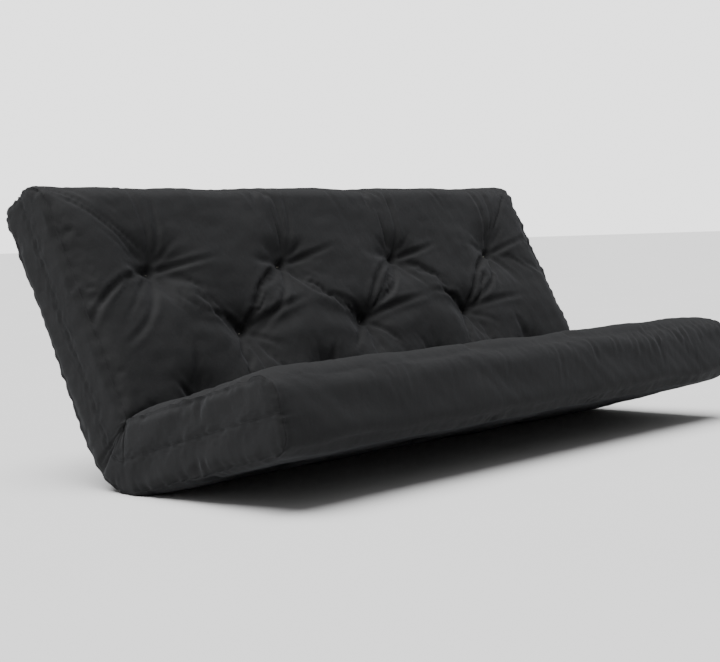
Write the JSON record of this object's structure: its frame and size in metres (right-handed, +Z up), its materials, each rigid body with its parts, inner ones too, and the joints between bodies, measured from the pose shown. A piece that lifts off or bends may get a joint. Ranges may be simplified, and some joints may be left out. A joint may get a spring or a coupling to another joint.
{
  "type": "futon mattress",
  "caption": "Tufted futon mattress in charcoal twill, folded into a sofa shape: a padded seat and a leaning back joined by a strip that bends, so it also lies flat as a bed.",
  "frame": {"origin": "middle of the folded mattress's footprint, at the level of its lowest point, under the fold", "axes": "+X along the crease, +Z up; the front edge of the seat is towards -Y"},
  "size_m": [1.905, 1.012, 0.7564],
  "materials": {
    "cover_twill": "matte woven twill",
    "cotton_batt": "carded cotton felt",
    "foam": "open-cell foam",
    "tuft_twine": "waxed cotton twine"
  },
  "bodies": {
    "fold": {"fold_face_panel": "cover_twill", "fold_underside_panel": "cover_twill", "fold_end_strip_upper_left": "cover_twill", "fold_end_strip_upper_right": "cover_twill", "fold_end_strip_lower_left": "cover_twill", "fold_end_strip_lower_right": "cover_twill", "fold_top_batt": "cotton_batt", "fold_upper_foam": "foam", "fold_middle_batt": "cotton_batt", "fold_lower_foam": "foam", "fold_bottom_batt": "cotton_batt"},
    "seat": {"seat_face_panel": "cover_twill", "front_roll_panel": "cover_twill", "seat_underside_panel": "cover_twill", "seat_end_strip_upper_left": "cover_twill", "seat_end_strip_upper_right": "cover_twill", "seat_end_strip_lower_left": "cover_twill", "seat_end_strip_lower_right": "cover_twill", "seat_top_batt": "cotton_batt", "seat_upper_foam": "foam", "seat_middle_batt": "cotton_batt", "seat_lower_foam": "foam", "seat_bottom_batt": "cotton_batt", "tuft_twines_row_4": "tuft_twine", "tuft_stitches_row_4": "tuft_twine", "tuft_knots_row_4": "tuft_twine", "tuft_twines_row_5": "tuft_twine", "tuft_stitches_row_5": "tuft_twine", "tuft_knots_row_5": "tuft_twine"},
    "back": {"back_face_panel": "cover_twill", "head_roll_panel": "cover_twill", "back_rear_panel": "cover_twill", "back_end_strip_upper_left": "cover_twill", "back_end_strip_upper_right": "cover_twill", "back_end_strip_lower_left": "cover_twill", "back_end_strip_lower_right": "cover_twill", "back_top_batt": "cotton_batt", "back_upper_foam": "foam", "back_middle_batt": "cotton_batt", "back_lower_foam": "foam", "back_bottom_batt": "cotton_batt", "tuft_twines_row_1": "tuft_twine", "tuft_stitches_row_1": "tuft_twine", "tuft_knots_row_1": "tuft_twine", "tuft_twines_row_2": "tuft_twine", "tuft_stitches_row_2": "tuft_twine", "tuft_knots_row_2": "tuft_twine", "tuft_twines_row_3": "tuft_twine", "tuft_stitches_row_3": "tuft_twine", "tuft_knots_row_3": "tuft_twine"}
  },
  "joints": [
    {"name": "seat_bend", "type": "hinge", "parent": "fold", "child": "seat", "pos_m": [0, 0.03373, 0.09353], "axis": [1, 0, 0], "range_deg": [0, 15], "deforming": ["fold_face_panel", "fold_underside_panel", "fold_end_strip_upper_left", "fold_end_strip_upper_right", "fold_end_strip_lower_left", "fold_end_strip_lower_right", "fold_top_batt", "fold_upper_foam", "fold_middle_batt", "fold_lower_foam", "fold_bottom_batt"]},
    {"name": "back_bend", "type": "hinge", "parent": "seat", "child": "back", "pos_m": [0, 0.08593, 0.09394], "axis": [-1, 0, 0], "range_deg": [0, 77], "deforming": ["fold_face_panel", "fold_underside_panel", "fold_end_strip_upper_left", "fold_end_strip_upper_right", "fold_end_strip_lower_left", "fold_end_strip_lower_right", "fold_top_batt", "fold_upper_foam", "fold_middle_batt", "fold_lower_foam", "fold_bottom_batt"]}
  ],
  "couplings": [
    {"joint": "seat_bend", "follows": "back_bend", "ratio": 0.19481}
  ]
}
